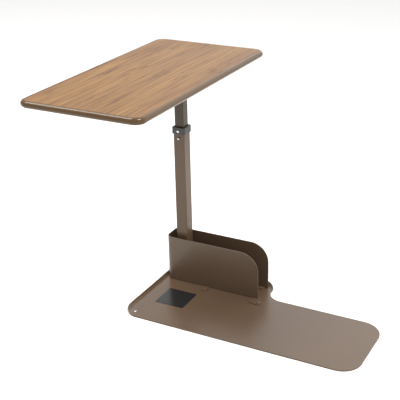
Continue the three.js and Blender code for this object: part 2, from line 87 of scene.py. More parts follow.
# %% [markdown]
# The operators of edit mode act on what is selected, so each step below first picks its faces, edges or
# vertices by where they lie. These helpers do the picking, open and close edit mode, and hand a finished
# piece to the body that it moves with.


# %% Modelling helpers
def only(piece):
    """Makes a piece the active object and the only selected one."""
    bpy.ops.object.select_all(action="DESELECT")
    piece.select_set(True)
    bpy.context.view_layer.objects.active = piece


def pick(kind, test):
    """In edit mode, selects the verts, edges or faces that pass a test, and nothing else."""
    mesh = bpy.context.object.data
    modes = {"verts": "VERT", "edges": "EDGE", "faces": "FACE"}
    bpy.ops.mesh.select_mode(type=modes[kind])
    bpy.ops.mesh.select_all(action="DESELECT")
    shape = bmesh.from_edit_mesh(mesh)
    found = [element for element in getattr(shape, kind) if test(element)]
    for element in found:
        element.select_set(True)
    shape.select_flush_mode()
    bmesh.update_edit_mesh(mesh)


def middle(element):
    """The mean position of an edge's or a face's corners."""
    return sum((corner.co for corner in element.verts), Vector()) / len(element.verts)


def upright(edge):
    """True for an edge that runs along Z."""
    along = (edge.verts[1].co - edge.verts[0].co).normalized()
    return abs(along.z) > 0.999


def flat(face):
    """True for a face that looks straight up or down."""
    return abs(face.normal.z) > 0.9


def near(value, target, tolerance=0.02 * MM):
    return abs(value - target) < tolerance


def start_block(name, low, high):
    """A cube stretched between two corners, left open in edit mode with nothing selected."""
    low, high = Vector(low), Vector(high)
    bpy.ops.object.select_all(action="DESELECT")
    bpy.ops.mesh.primitive_cube_add(size=1, location=(low + high) / 2)
    piece = bpy.context.object
    piece.name = name
    piece.scale = high - low
    bpy.ops.object.transform_apply(location=True, rotation=True, scale=True)
    bpy.ops.object.mode_set(mode="EDIT")
    bpy.ops.mesh.select_all(action="DESELECT")
    return piece


SMOOTH_ANGLE = 35
SHARP_ANGLE = 50
TOUCH = 0.001 * MM


def round_off(kind, radius, steps):
    """In edit mode, rounds the picked edges or vertices to an arc of a radius."""
    bpy.ops.mesh.bevel(affect=kind, offset=radius, segments=steps, profile=0.5)


def close_edit(piece, smooth_angle=SMOOTH_ANGLE):
    """Merges doubles, turns the faces outwards, leaves edit mode and smooths the gentle edges."""
    bpy.ops.mesh.select_mode(type="VERT")
    bpy.ops.mesh.select_all(action="SELECT")
    bpy.ops.mesh.remove_doubles(threshold=TOUCH)
    bpy.ops.mesh.normals_make_consistent(inside=False)
    bpy.ops.object.mode_set(mode="OBJECT")
    bpy.ops.object.transform_apply(location=True, rotation=True, scale=True)
    bpy.ops.object.shade_smooth_by_angle(angle=math.radians(smooth_angle))
    return piece


def finish_with(piece, kind, **settings):
    """Adds a modifier, gives it its settings and applies it."""
    only(piece)
    modifier = piece.modifiers.new(kind.title(), kind)
    for key, value in settings.items():
        setattr(modifier, key, value)
    bpy.ops.object.modifier_apply(modifier=modifier.name)


def soften(piece, radius, steps=2, angle=SHARP_ANGLE):
    """Rounds edges sharper than an angle with a narrow bevel, as paint or moulding does."""
    finish_with(piece, "BEVEL", width=radius, segments=steps, limit_method="ANGLE",
                angle_limit=math.radians(angle), use_clamp_overlap=True)
    bpy.ops.object.shade_smooth_by_angle(angle=math.radians(SMOOTH_ANGLE))
    finish_with(piece, "WEIGHTED_NORMAL", keep_sharp=True)


def drill(piece, *cutters):
    """Cuts other pieces out of this one and removes them."""
    for cutter in cutters:
        finish_with(piece, "BOOLEAN", operation="DIFFERENCE", object=cutter, solver="EXACT")
        bpy.data.objects.remove(cutter)


def fuse(piece, *others):
    """Joins other pieces to this one as one closed solid."""
    for other in others:
        finish_with(piece, "BOOLEAN", operation="UNION", object=other, solver="EXACT")
        bpy.data.objects.remove(other)


ROUND_SIDES = 32


def pin(radius, start, end):
    """A plain round cutter between two points."""
    start, end = Vector(start), Vector(end)
    along = end - start
    bpy.ops.object.select_all(action="DESELECT")
    bpy.ops.mesh.primitive_cylinder_add(vertices=ROUND_SIDES, radius=radius, depth=along.length,
                                        location=(start + end) / 2)
    cutter = bpy.context.object
    cutter.rotation_euler = along.to_track_quat("Z", "Y").to_euler()
    bpy.ops.object.transform_apply(location=True, rotation=True, scale=True)
    return cutter


made = []


def hand_over(piece, body, slot, finish, *nodes):
    """A finished piece gets its material and its body, and the CAD nodes that it stands for are hidden. The
    slot is not used.
    """
    piece.data.materials.clear()
    piece.data.materials.append(finish)
    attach(piece, body)
    if nodes:
        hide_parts(*nodes)
    made.append(piece.name)
    print(f"{piece.name}: {len(piece.data.polygons)} faces, rides on {body}")


print("smoothing angle:", SMOOTH_ANGLE, "degrees; sides of a round cutter:", ROUND_SIDES)

# %% [markdown]
# Every finish below is a small set of nodes that read Object coordinates, so a pattern keeps its real
# size on every piece. These helpers place a node, link it, and set up the noise that most of them share.


# %% Material helpers
def new_finish(name, roughness, metallic=0.0, specular=0.5):
    """A material with its shader, ready for links. The even numbers sit on the shader itself."""
    finish = bpy.data.materials.new(name)
    finish.use_nodes = True
    shader = finish.node_tree.nodes["Principled BSDF"]
    shader.inputs["Roughness"].default_value = roughness
    shader.inputs["Metallic"].default_value = metallic
    shader.inputs["Specular IOR Level"].default_value = specular
    return finish, shader


def node(finish, kind, **inputs):
    """Adds a node and sets its inputs by name. Spaces in names are written as underscores."""
    made_node = finish.node_tree.nodes.new(kind)
    for key, value in inputs.items():
        made_node.inputs[key.replace("_", " ")].default_value = value
    return made_node


def link(finish, source, target):
    finish.node_tree.links.new(source, target)


EVEN = (1, 1, 1)


def stretched_noise(finish, scale, size, detail=3.0, roughness=0.5, distortion=0.0):
    """Noise on Object coordinates; scale times size is the number of features in a metre on each axis."""
    place = finish.node_tree.nodes.new("ShaderNodeTexCoord")
    mapping = node(finish, "ShaderNodeMapping")
    mapping.inputs["Scale"].default_value = size
    link(finish, place.outputs["Object"], mapping.inputs["Vector"])
    noise = node(finish, "ShaderNodeTexNoise", Scale=scale, Detail=detail, Roughness=roughness,
                 Distortion=distortion)
    link(finish, mapping.outputs["Vector"], noise.inputs["Vector"])
    return noise


def colour_ramp(finish, factor, stops):
    """Colours by position; each stop is (position, (red, green, blue)) in linear light."""
    ramp = finish.node_tree.nodes.new("ShaderNodeValToRGB")
    elements = ramp.color_ramp.elements
    while len(elements) < len(stops):
        elements.new(0.5)
    for element, (position, colour) in zip(elements, stops):
        element.position = position
        element.color = (*colour, 1)
    link(finish, factor, ramp.inputs["Fac"])
    return ramp


def multiply(finish, share, first, second):
    """Multiplies a colour by a second one; share is how much of the second counts, from 0 to 1."""
    mix = finish.node_tree.nodes.new("ShaderNodeMix")
    mix.data_type = "RGBA"
    mix.blend_type = "MULTIPLY"
    # a Mix node has sockets for every data type: 0 is the factor, 6 and 7 the colours, output 2 the result
    mix.inputs[0].default_value = share
    link(finish, first, mix.inputs[6])
    link(finish, second, mix.inputs[7])
    return mix.outputs[2]


def add_bump(finish, shader, height, strength, distance):
    bump = node(finish, "ShaderNodeBump", Strength=strength, Distance=distance)
    link(finish, height, bump.inputs["Height"])
    link(finish, bump.outputs["Normal"], shader.inputs["Normal"])


def rough_range(finish, shader, factor, low, high):
    """Lets the roughness wander between two values."""
    spread = node(finish, "ShaderNodeMapRange")
    spread.inputs["To Min"].default_value = low
    spread.inputs["To Max"].default_value = high
    link(finish, factor, spread.inputs["Value"])
    link(finish, spread.outputs["Result"], shader.inputs["Roughness"])


print("finishes so far:", len(bpy.data.materials))

# %% [markdown]
# Powder coat is a plastic paint baked on steel. It isn't flat: it sets with a fine ripple, like orange
# peel, about a millimetre across, and its brown drifts very slightly over a large sheet. A bump from fine
# noise makes the ripple, and a broad noise shifts the colour and the gloss. The drawn tubes take the coat
# a little duller than the plate. The inner tube's coat is a darker brown, and this is painted shade: it
# stands in for the shade that the tabletop casts on the inner tube.


# %% Powder coat
PAINT_DRIFT = 6.0
PAINT_RIPPLE = 900.0
PAINT_SPECK = 2600.0
BUMP_HEIGHT = 0.0002


def powder_coat(name, dark, light, roughness, specular=0.5):
    finish, shader = new_finish(name, roughness, specular=specular)
    broad = stretched_noise(finish, PAINT_DRIFT, EVEN, detail=2.0)
    tint = colour_ramp(finish, broad.outputs["Fac"], [(0.3, dark), (0.7, light)])
    grain = stretched_noise(finish, PAINT_SPECK, EVEN, detail=1.0)
    speck = colour_ramp(finish, grain.outputs["Fac"], [(0.25, (0.88, 0.88, 0.88)), (0.75, (1.0, 1.0, 1.0))])
    colour = multiply(finish, 1.0, tint.outputs["Color"], speck.outputs["Color"])
    link(finish, colour, shader.inputs["Base Color"])
    peel = stretched_noise(finish, PAINT_RIPPLE, EVEN, detail=2.0, roughness=0.4)
    add_bump(finish, shader, peel.outputs["Fac"], 0.12, BUMP_HEIGHT)
    rough_range(finish, shader, broad.outputs["Fac"], roughness - 0.03, roughness + 0.03)
    return finish


BROWN_DARK, BROWN_LIGHT = (0.104, 0.066, 0.041), (0.112, 0.072, 0.045)
brown_coat = powder_coat("brown powder coat", BROWN_DARK, BROWN_LIGHT, 0.31)
post_coat = powder_coat("brown powder coat on the post", BROWN_DARK, BROWN_LIGHT, 0.31, specular=0.38)
# The mast's coat is about half as bright as the other brown: painted shade for the shade under the
# tabletop.
mast_coat_painted_shade = powder_coat("brown powder coat on the mast, darkened as painted shade", (0.054, 0.039, 0.024), (0.060, 0.043, 0.027), 0.30,
                        specular=0.34)
print("coats:", brown_coat.name, "|", post_coat.name, "|", mast_coat_painted_shade.name)

# %% [markdown]
# The top is a printed wood-grain laminate. Its print has four scales: broad bands of lighter and pinker
# wood, dark strokes about a centimetre wide, streaks a few millimetres wide and a hand long, and hair-fine
# pores. Each is a noise that is squeezed across the board and drawn out along it, and the pores also press
# a faint bump. An image could hold the print too, but noise stays sharp at any distance.


# %% Wood-grain laminate
BANDS = (16, 1.3, 16)
STROKES = (85, 8, 85)
STREAKS = (300, 4.5, 300)
PORES = (1100, 26, 1100)


def wood_print():
    finish, shader = new_finish("wood-grain laminate", 0.4, specular=0.125)
    bands = stretched_noise(finish, 1.0, BANDS, detail=2.0, distortion=0.5)
    ground = colour_ramp(finish, bands.outputs["Fac"], [
        (0.30, (0.166, 0.090, 0.045)), (0.45, (0.190, 0.106, 0.047)),
        (0.60, (0.205, 0.117, 0.051)), (0.75, (0.172, 0.092, 0.044))])
    streaks = stretched_noise(finish, 1.0, STREAKS, detail=4.0, roughness=0.62, distortion=0.25)
    streak_tint = colour_ramp(finish, streaks.outputs["Fac"], [
        (0.32, (0.46, 0.36, 0.36)), (0.43, (0.87, 0.82, 0.80)),
        (0.52, (1.02, 1.01, 0.98)), (0.64, (1.36, 1.33, 1.12))])
    strokes = stretched_noise(finish, 1.0, STROKES, detail=3.0, roughness=0.55, distortion=0.9)
    stroke_tint = colour_ramp(finish, strokes.outputs["Fac"], [
        (0.30, (0.46, 0.37, 0.38)), (0.42, (1.0, 1.0, 1.0))])
    pores = stretched_noise(finish, 1.0, PORES, detail=2.0, roughness=0.6)
    pore_tint = colour_ramp(finish, pores.outputs["Fac"], [
        (0.34, (0.78, 0.72, 0.70)), (0.46, (1.0, 1.0, 1.0))])
    colour = multiply(finish, 1.0, ground.outputs["Color"], streak_tint.outputs["Color"])
    colour = multiply(finish, 0.8, colour, stroke_tint.outputs["Color"])
    colour = multiply(finish, 0.6, colour, pore_tint.outputs["Color"])
    link(finish, colour, shader.inputs["Base Color"])
    add_bump(finish, shader, pores.outputs["Fac"], 0.08, BUMP_HEIGHT)
    rough_range(finish, shader, streaks.outputs["Fac"], 0.34, 0.44)
    return finish


wood_laminate = wood_print()
print("laminate nodes:", len(wood_laminate.node_tree.nodes))

# %% [markdown]
# The plastics differ in gloss and texture. The vinyl edging is glossy and smooth, the collar is moulded
# with a fine spark texture, the glide washer is milky nylon and the label is a smooth film. One function
# makes them all from a colour, a gloss and the size and depth of the texture. The backing laminate under
# the top is a plain brown resin sheet, so it comes from the same function.


# %% Plastics
MOULDING_DRIFT = 25.0


def plastic(name, colour, roughness, texture_size, texture_depth, drift=0.06, specular=0.5):
    finish, shader = new_finish(name, roughness, specular=specular)
    broad = stretched_noise(finish, MOULDING_DRIFT, EVEN, detail=2.0)
    darker = tuple(channel * (1 - drift) for channel in colour)
    lighter = tuple(channel * (1 + drift) for channel in colour)
    tint = colour_ramp(finish, broad.outputs["Fac"], [(0.3, darker), (0.7, lighter)])
    link(finish, tint.outputs["Color"], shader.inputs["Base Color"])
    texture = stretched_noise(finish, texture_size, EVEN, detail=1.0)
    add_bump(finish, shader, texture.outputs["Fac"], texture_depth, BUMP_HEIGHT)
    rough_range(finish, shader, broad.outputs["Fac"], roughness - 0.02, roughness + 0.03)
    return finish


edge_vinyl = plastic("brown vinyl edging", (0.088, 0.050, 0.022), 0.16, 120.0, 0.04, specular=0.31)
black_plastic = plastic("moulded black plastic", (0.030, 0.032, 0.036), 0.38, 1800.0, 0.25)
white_nylon = plastic("natural nylon", (0.62, 0.59, 0.51), 0.45, 900.0, 0.1)
label_film = plastic("blank label film", (0.014, 0.014, 0.016), 0.24, 300.0, 0.03, specular=0.36)
backer_paper = plastic("brown backing laminate", (0.115, 0.080, 0.055), 0.60, 700.0, 0.15)
print("finishes so far:", len(bpy.data.materials))

# %% [markdown]
# Bright fasteners are zinc plated steel: a metal with a slightly hazy surface. The spring leaf is darker,
# and it keeps the fine lines of the rolling mill along its length. The board inside the top is pressed
# from chips, so its colour breaks up into flakes.


# %% Metals and the board
def plated(name, colour, roughness, size):
    finish, shader = new_finish(name, roughness, metallic=1.0)
    haze = stretched_noise(finish, 1.0, size, detail=3.0)
    darker = tuple(channel * 0.88 for channel in colour)
    tint = colour_ramp(finish, haze.outputs["Fac"], [(0.35, darker), (0.65, colour)])
    link(finish, tint.outputs["Color"], shader.inputs["Base Color"])
    rough_range(finish, shader, haze.outputs["Fac"], roughness - 0.05, roughness + 0.07)
    return finish


bright_zinc = plated("bright zinc plate", (0.72, 0.73, 0.74), 0.22, (700, 700, 700))
spring_steel = plated("blued spring steel", (0.26, 0.28, 0.32), 0.34, (3000, 3000, 120))


FLAKES = 420.0


def pressed_board():
    finish, shader = new_finish("pressed chip board", 0.85, specular=0.2)
    flakes = finish.node_tree.nodes.new("ShaderNodeTexVoronoi")
    flakes.inputs["Scale"].default_value = FLAKES
    place = finish.node_tree.nodes.new("ShaderNodeTexCoord")
    link(finish, place.outputs["Object"], flakes.inputs["Vector"])
    tint = colour_ramp(finish, flakes.outputs["Color"], [
        (0.1, (0.30, 0.19, 0.09)), (0.5, (0.46, 0.32, 0.17)), (0.9, (0.60, 0.46, 0.28))])
    link(finish, tint.outputs["Color"], shader.inputs["Base Color"])
    add_bump(finish, shader, flakes.outputs["Distance"], 0.4, 0.0004)
    return finish


chip_board = pressed_board()
print("metals and board:", bright_zinc.name, "|", spring_steel.name, "|", chip_board.name)

# %% [markdown]
# The base is one sheet of steel. Its left and back edges are curled up into a low lip that fades out
# round two of the corners. The outline starts as a plane: the tongue is an edge pulled out, and each
# corner is rounded by a vertex bevel of its own radius. Insets then lay rings round the edge, the rings
# are lifted along a curve to make the curl, and Solidify gives the sheet its thickness.

# %% Base plate: outline
base_low, base_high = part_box("base_plate")
SHEET = 3 * MM
SHOULDER_X = 244 * MM
TONGUE_BACK_Y = -18 * MM
CORNER_STEPS = 14
FRONT_LEFT_ROUND = 36 * MM
FRONT_RIGHT_ROUND = 50 * MM
TONGUE_ROUND = 55 * MM
SHOULDER_ROUND = 40 * MM
BACK_ROUND = 28 * MM
base_corners = [
    ((base_low.x, base_low.y), FRONT_LEFT_ROUND),
    ((base_high.x, base_low.y), FRONT_RIGHT_ROUND),
    ((base_high.x, TONGUE_BACK_Y), TONGUE_ROUND),
    ((SHOULDER_X, TONGUE_BACK_Y), SHOULDER_ROUND),
    ((SHOULDER_X, base_high.y), BACK_ROUND),
    ((base_low.x, base_high.y), BACK_ROUND),
]

bpy.ops.object.select_all(action="DESELECT")
bpy.ops.mesh.primitive_plane_add(size=1, location=((base_low.x + SHOULDER_X) / 2,
                                                   (base_low.y + base_high.y) / 2, SHEET))
base_sheet = bpy.context.object
base_sheet.name = "base_sheet"
base_sheet.scale = (SHOULDER_X - base_low.x, base_high.y - base_low.y, 1)
bpy.ops.object.transform_apply(location=True, rotation=True, scale=True)
bpy.ops.object.mode_set(mode="EDIT")
bpy.ops.mesh.select_all(action="SELECT")
bpy.ops.mesh.bisect(plane_co=(0, TONGUE_BACK_Y, 0), plane_no=(0, 1, 0))
pick("edges", lambda edge: near(middle(edge).x, SHOULDER_X) and middle(edge).y < TONGUE_BACK_Y)
bpy.ops.mesh.extrude_region_move(TRANSFORM_OT_translate={"value": (base_high.x - SHOULDER_X, 0, 0)})
bpy.ops.mesh.select_all(action="SELECT")
bpy.ops.mesh.dissolve_limited(angle_limit=math.radians(1))
for (corner_x, corner_y), radius in base_corners:
    pick("verts", lambda v: near(v.co.x, corner_x) and near(v.co.y, corner_y))
    round_off("VERTICES", radius, steps=CORNER_STEPS)
print("outline corners rounded:", len(base_corners))

# %% [markdown]
# The rings lie closer together towards the edge, where the curl is steepest. One more ring, a little
# further in, stays flat, so that the smooth shading of the curl ends there and the plate stays a true
# plane.

# %% Base plate: rings
BEND_REACH = 22 * MM
BEND_STEPS = 9
FLAT_RING = 2 * MM


def bend_angle(step):
    """The angle turned by the curl at a ring, from 0 where it starts to 90 degrees at the rim."""
    return math.radians(90) * (1 - step / BEND_STEPS)


def ring_inset(step):
    """How far in from the outline a ring lies."""
    return BEND_REACH * (1 - math.sin(bend_angle(step)))


pick("faces", lambda face: True)
for step in range(1, BEND_STEPS + 1):
    gap = ring_inset(step) - ring_inset(step - 1)
    bpy.ops.mesh.inset(thickness=gap, use_even_offset=True)
bpy.ops.mesh.inset(thickness=FLAT_RING, use_even_offset=True)
bpy.ops.object.mode_set(mode="OBJECT")
print("vertices in the rings:", len(base_sheet.data.vertices))

# %% [markdown]
# The curl isn't the same all the way round. By the rack it is narrow and steep, and along the open front
# part of the left side it is wide and soft. It fades to nothing round the front left and the back right
# corners. So two functions say, for any point, how wide the curl is there and how high the lip stands.

# %% Base plate: where the lip stands
LIP_RISE = 10 * MM
REACH_AT_RACK = 12 * MM
STEEP_BEND, SOFT_BEND = 2.4, 2.0
SOFT_UNTIL_Y = -95 * MM
STEEP_FROM_Y = -42 * MM
front_left = Vector((base_low.x + FRONT_LEFT_ROUND, base_low.y + FRONT_LEFT_ROUND))
back_left = Vector((base_low.x + BACK_ROUND, base_high.y - BACK_ROUND))
back_right = Vector((SHOULDER_X - BACK_ROUND, base_high.y - BACK_ROUND))


def smooth_step(t):
    """Eases from 0 to 1, and stays at 0 or 1 outside that range."""
    t = min(max(t, 0), 1)
    return t * t * (3 - 2 * t)


def curl_at(x, y):
    """How far in the curl starts and how sharply it bends: narrow by the rack, wide and soft in front."""
    narrow = smooth_step((y - SOFT_UNTIL_Y) / (STEEP_FROM_Y - SOFT_UNTIL_Y))
    if x > front_left.x + BEND_REACH:
        narrow = 1
    return (BEND_REACH + (REACH_AT_RACK - BEND_REACH) * narrow,
            SOFT_BEND + (STEEP_BEND - SOFT_BEND) * narrow)


def lip_at(x, y):
    """How far the lip is raised near a point of the edge, from 0 to 1, and the way in from there."""
    if x < front_left.x and y < front_left.y:
        inward = (front_left - Vector((x, y))).normalized()
        fade = math.atan2(inward.y, inward.x) / math.radians(90)
        return 1 - smooth_step(fade), inward
    if x > back_right.x and y > back_right.y:
        inward = (back_right - Vector((x, y))).normalized()
        fade = math.atan2(-inward.x, -inward.y) / math.radians(90)
        return 1 - smooth_step(fade), inward
    if x < back_left.x and y > back_left.y:
        return 1, (back_left - Vector((x, y))).normalized()
    if x < base_low.x + 2 * BEND_REACH and y < back_left.y:
        return 1, Vector((1, 0))
    if y > base_high.y - 2 * BEND_REACH and x < back_right.x:
        return 1, Vector((0, -1))
    return 0, Vector((0, 0))


def edge_distance(x, y, lip, inward):
    """How far a point is from the raised outline."""
    if lip == 0:
        return BEND_REACH
    if x < front_left.x and y < front_left.y:
        return FRONT_LEFT_ROUND - (front_left - Vector((x, y))).length
    if (x > back_right.x and y > back_right.y) or (x < back_left.x and y > back_left.y):
        centre = back_right if x > back_right.x else back_left
        return BACK_ROUND - (centre - Vector((x, y))).length
    return x - base_low.x if inward.x == 1 else base_high.y - y


print("lip at the left side, the front and the back:",
      lip_at(base_low.x, 0)[0], lip_at(0, base_low.y)[0], lip_at(0, base_high.y)[0])

# %% [markdown]
# Each ring vertex is lifted along the curl and moved in a little, so that the sheet keeps its outline when
# Solidify thickens it downwards. The rivet holes are drilled last.

# %% Base plate: curl, thickness and rivet holes
RIVET_HOLE = 2.4 * MM
EDGE_BREAK = 0.5 * MM
for vertex in base_sheet.data.vertices:
    x, y = vertex.co.x, vertex.co.y
    lip, inward = lip_at(x, y)
    distance = edge_distance(x, y, lip, inward)
    reach, bend = curl_at(x, y)
    if lip > 0 and distance < reach - TOUCH:
        along = 1 - max(distance, 0) / reach
        slope = math.atan(lip * LIP_RISE * bend / reach * along ** (bend - 1))
        shift = inward * (SHEET * math.sin(slope))
        vertex.co += Vector((shift.x, shift.y, LIP_RISE * lip * along ** bend))

finish_with(base_sheet, "SOLIDIFY", thickness=SHEET, offset=-1, use_even_offset=True)

rivet_nodes = ["corner_rivet", *(f"rack_rivet_{index + 1}" for index in range(4))]
rivet_centres = {name: sum(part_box(name), Vector()) / 2 for name in rivet_nodes}
drill(base_sheet, *(pin(RIVET_HOLE, (spot.x, spot.y, -10 * MM), (spot.x, spot.y, 20 * MM))
                    for spot in rivet_centres.values()))
soften(base_sheet, EDGE_BREAK)
hand_over(base_sheet, "base", "powder_coat", brown_coat, "base_plate")

# %% [markdown]
# The rack is a second sheet, bent like a U round the post. A block gives its outer size. Its top, its
# bottom and one end are deleted, the two upright edges of the closed end are bevelled into bends, and the
# two upper corners of the open end are rounded. Solidify makes the wall. Small ears at the foot are
# joined to it, and they are what the rivets hold.

# %% Magazine rack
RACK_WALL = 1.5 * MM
RACK_BEND = 16 * MM
RACK_CORNER = 50 * MM
RACK_RIGHT = 229 * MM
RACK_HALF = 33 * MM
RACK_EDGE = 0.35 * MM
rack_low, rack_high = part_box("magazine_rack")
rack_shell = start_block("rack_shell", (rack_low.x, -RACK_HALF, rack_low.z),
                         (RACK_RIGHT, RACK_HALF, rack_high.z))
pick("faces", lambda face: flat(face) or face.normal.x > 0.9)
bpy.ops.mesh.delete(type="FACE")
pick("edges", lambda edge: upright(edge) and near(middle(edge).x, rack_low.x))
round_off("EDGES", RACK_BEND, steps=10)
pick("verts", lambda v: near(v.co.x, RACK_RIGHT) and near(v.co.z, rack_high.z))
round_off("VERTICES", RACK_CORNER, steps=20)
close_edit(rack_shell)
finish_with(rack_shell, "SOLIDIFY", thickness=RACK_WALL, offset=-1, use_even_offset=True)
print("rack sheet faces:", len(rack_shell.data.polygons))

# %% [markdown]
# The ears are short tabs of the same sheet. Each is a flat block that starts inside the rack's wall and
# ends in two rounded corners. A union makes the rack and its ears one closed solid.

# %% Rack ears
# each ear is (left, right, end) in mm; the first two point outwards and the last two inwards
EARS = [(73, 89, -56), (213, 246, -60), (73, 89, 16), (204, 220, 16)]
EAR_ROUND = 5 * MM
ears = []
for left, right, end in EARS:
    wall = (RACK_HALF - RACK_WALL / 2) * (-1 if end < 0 else 1)
    end_y = end * MM
    ear = start_block("ear", (left * MM, min(wall, end_y), rack_low.z),
                      (right * MM, max(wall, end_y), rack_low.z + RACK_WALL))
    pick("edges", lambda edge: upright(edge) and near(middle(edge).y, end_y))
    round_off("EDGES", EAR_ROUND, steps=6)
    ears.append(close_edit(ear))
fuse(rack_shell, *ears)
soften(rack_shell, RACK_EDGE)
hand_over(rack_shell, "base", "powder_coat", brown_coat, "magazine_rack")
print("rack ears:", len(EARS))

# %% [markdown]
# The label on the base is a thin film with square-cut corners, only just rounded. It carries no print.

# %% Blank label
LABEL_ROUND, LABEL_EDGE = 1.5 * MM, 0.1 * MM
label_low, label_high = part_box("blank_label")
label_sheet = start_block("label_sheet", label_low, label_high)
pick("edges", upright)
round_off("EDGES", LABEL_ROUND, steps=4)
close_edit(label_sheet)
soften(label_sheet, LABEL_EDGE, steps=1)
hand_over(label_sheet, "base", "label_film", label_film, "blank_label")

# %% [markdown]
# Round fasteners are turned on a lathe, and here too: one vertex is drawn along the outline of half the
# piece, and Spin carries that outline once round its axis. The poles close when the doubles are merged.


# %% Turned pieces
DOME_STEPS = 8


def turned(name, outline, centre, axis="Z"):
    """Spins an outline of (radius, height) points round Z, then lays the piece along -Y if asked."""
    bpy.ops.object.select_all(action="DESELECT")
    bpy.ops.mesh.primitive_plane_add(size=1, location=(0, 0, 0))
    piece = bpy.context.object
    piece.name = name
    bpy.ops.object.mode_set(mode="EDIT")
    bpy.ops.mesh.select_all(action="SELECT")
    bpy.ops.mesh.merge(type="CENTER")
    radius, height = outline[0]
    bpy.ops.transform.translate(value=(radius, 0, height))
    for (radius, height), (before_radius, before_height) in zip(outline[1:], outline):
        step = (radius - before_radius, 0, height - before_height)
        bpy.ops.mesh.extrude_region_move(TRANSFORM_OT_translate={"value": step})
    bpy.ops.mesh.select_all(action="SELECT")
    bpy.ops.mesh.spin(steps=ROUND_SIDES, angle=math.radians(360), center=(0, 0, 0), axis=(0, 0, 1))
    close_edit(piece)
    if axis == "-Y":
        piece.rotation_euler = (math.radians(90), 0, 0)
    piece.location = centre
    bpy.ops.object.transform_apply(location=True, rotation=True, scale=True)
    return piece


def dome(radius, base, rise):
    """Outline points of a rounded head, from its rim to its crown."""
    points = []
    for index in range(DOME_STEPS):
        angle = math.radians(90) * index / DOME_STEPS
        points.append((radius * math.cos(angle), base + rise * math.sin(angle)))
    return [*points, (0, base + rise)]


print("points in a dome:", len(dome(5 * MM, 0, 2 * MM)))

# %% [markdown]
# The rivets through the rack's ears are low domes in the rack's own brown. The one at the plate's front
# left corner is bright zinc. All five share one outline, so one function turns them.

# %% Rivets of the plate
SHANK, FOOT, FOOT_THICK = 2 * MM, 4 * MM, 0.9 * MM
HEAD_RIM = 0.5 * MM
UNDERCUT = 0.2 * MM
PAINTED_HEAD, PAINTED_RISE = 5 * MM, 1.7 * MM
BRIGHT_HEAD, BRIGHT_RISE = 3.4 * MM, 1.4 * MM


def plate_rivet(name, node_name, head, rise, finish, slot):
    """A low dome over the plate, a straight shank, and a flat foot set into the plate's underside."""
    low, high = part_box(node_name)
    under_head = high.z - rise - HEAD_RIM
    outline = [(0, low.z), (FOOT, low.z), (FOOT, low.z + FOOT_THICK), (SHANK, low.z + FOOT_THICK),
               (SHANK, under_head), (head - UNDERCUT, under_head), *dome(head, high.z - rise, rise)]
    spot = rivet_centres[node_name]
    rivet = turned(name, outline, (spot.x, spot.y, 0))
    hand_over(rivet, "base", slot, finish, node_name)


for index in range(4):
    plate_rivet(f"painted_rivet_{index + 1}", f"rack_rivet_{index + 1}", PAINTED_HEAD, PAINTED_RISE,
                brown_coat, "powder_coat")
plate_rivet("bright_rivet", "corner_rivet", BRIGHT_HEAD, BRIGHT_RISE, bright_zinc, "zinc_steel")

# %% [markdown]
# The rivet in the collar and the snap button lie along Y, with their heads to the front. Both are bright
# zinc. Each is turned upright and then laid over. The button is taller, and its blind end is chamfered.

# %% Rivet and button of the post
PIN_SHANK, PIN_HEAD, PIN_RISE = 1.7 * MM, 3.5 * MM, 1.5 * MM
low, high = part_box("collar_rivet")
rim = -low.y - PIN_RISE
outline = [(0, -high.y), (PIN_SHANK, -high.y), (PIN_SHANK, rim - HEAD_RIM),
           (PIN_HEAD - UNDERCUT, rim - HEAD_RIM), *dome(PIN_HEAD, rim, PIN_RISE)]
collar_pin = turned("collar_pin", outline, (0, 0, (low.z + high.z) / 2), axis="-Y")
hand_over(collar_pin, "base", "zinc_steel", bright_zinc, "collar_rivet")

BUTTON_RISE, BUTTON_CHAMFER = 3 * MM, 0.4 * MM
low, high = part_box("snap_button")
button_radius = (high.x - low.x) / 2
outline = [(0, -high.y), (button_radius - BUTTON_CHAMFER, -high.y),
           (button_radius, -high.y + BUTTON_CHAMFER),
           *dome(button_radius, -low.y - BUTTON_RISE, BUTTON_RISE)]
height_button = turned("height_button", outline, (0, 0, (low.z + high.z) / 2), axis="-Y")
hand_over(height_button, "button", "zinc_steel", bright_zinc, "snap_button")

# %% [markdown]
# Both post tubes are drawn square tube. A block has its long edges bevelled to the tube's outer radius,
# both ends are inset by the wall, and Bridge joins the two insets into the bore. The holes for the button,
# the collar's rivet and the height settings are drilled after that.


# %% Square tubes
TUBE_WALL, TUBE_EDGE = 1.5 * MM, 0.25 * MM
OUTER_ROUND, INNER_ROUND = 3 * MM, 2.5 * MM


def square_tube(name, node_name, corner):
    """A square tube in the box of a CAD node."""
    low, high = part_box(node_name)
    piece = start_block(name, low, high)
    pick("edges", upright)
    round_off("EDGES", corner, steps=6)
    pick("faces", flat)
    bpy.ops.mesh.inset(thickness=TUBE_WALL, use_even_offset=True)
    bpy.ops.mesh.bridge_edge_loops()
    return close_edit(piece)


def front_drill(radius, wall_y, z):
    """A cutter through the front wall of a tube, at a height."""
    return pin(radius, (0, wall_y - 2 * MM, z), (0, wall_y + 4 * MM, z))


BUTTON_HOLE, PIN_HOLE, SETTING_HOLE = 3.8 * MM, 2 * MM, 3.9 * MM
HOLE_PITCH = 25.4 * MM
HOLE_COUNT = 7
outer_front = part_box("outer_tube")[0].y
inner_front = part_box("inner_tube")[0].y
button_z = sum(c.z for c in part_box("snap_button")) / 2
rivet_z = sum(c.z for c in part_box("collar_rivet")) / 2

lower_post = square_tube("lower_post", "outer_tube", OUTER_ROUND)
drill(lower_post, front_drill(BUTTON_HOLE, outer_front, button_z),
      front_drill(PIN_HOLE, outer_front, rivet_z))
soften(lower_post, TUBE_EDGE)
hand_over(lower_post, "base", "powder_coat", post_coat, "outer_tube")

